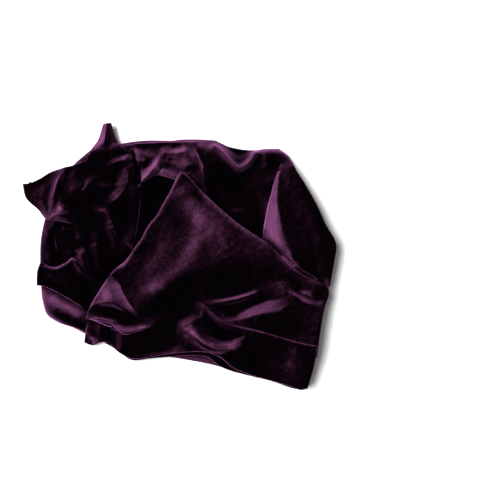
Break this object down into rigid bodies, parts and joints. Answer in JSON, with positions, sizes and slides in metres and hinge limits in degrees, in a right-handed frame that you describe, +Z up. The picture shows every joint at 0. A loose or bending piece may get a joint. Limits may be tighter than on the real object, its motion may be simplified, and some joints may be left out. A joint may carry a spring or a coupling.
{
  "type": "turban headwrap",
  "caption": "Soft velvet turban headwrap lying on its side: a hollow gathered crown open at a banded hem, a triangular front drape, a raised side pleat and a crumpled knot with short tails.",
  "frame": {"origin": "on the table, under the middle of the heap", "axes": "+Z up from the table, +X along the length of the heap, the mouth for the head faces -Y"},
  "size_m": [0.3118, 0.2644, 0.0659],
  "materials": {
    "velvet": "crushed velvet with a soft pile"
  },
  "bodies": {
    "root": {"crown": "velvet", "under_fold": "velvet", "corner_tab": "velvet", "side_pleat": "velvet", "crown_gather": "velvet", "tail_side": "velvet", "tail_up": "velvet", "knot": "velvet", "knot_curl": "velvet", "front_drape": "velvet", "drape_turnback": "velvet", "hem_band": "velvet"}
  },
  "joints": []
}
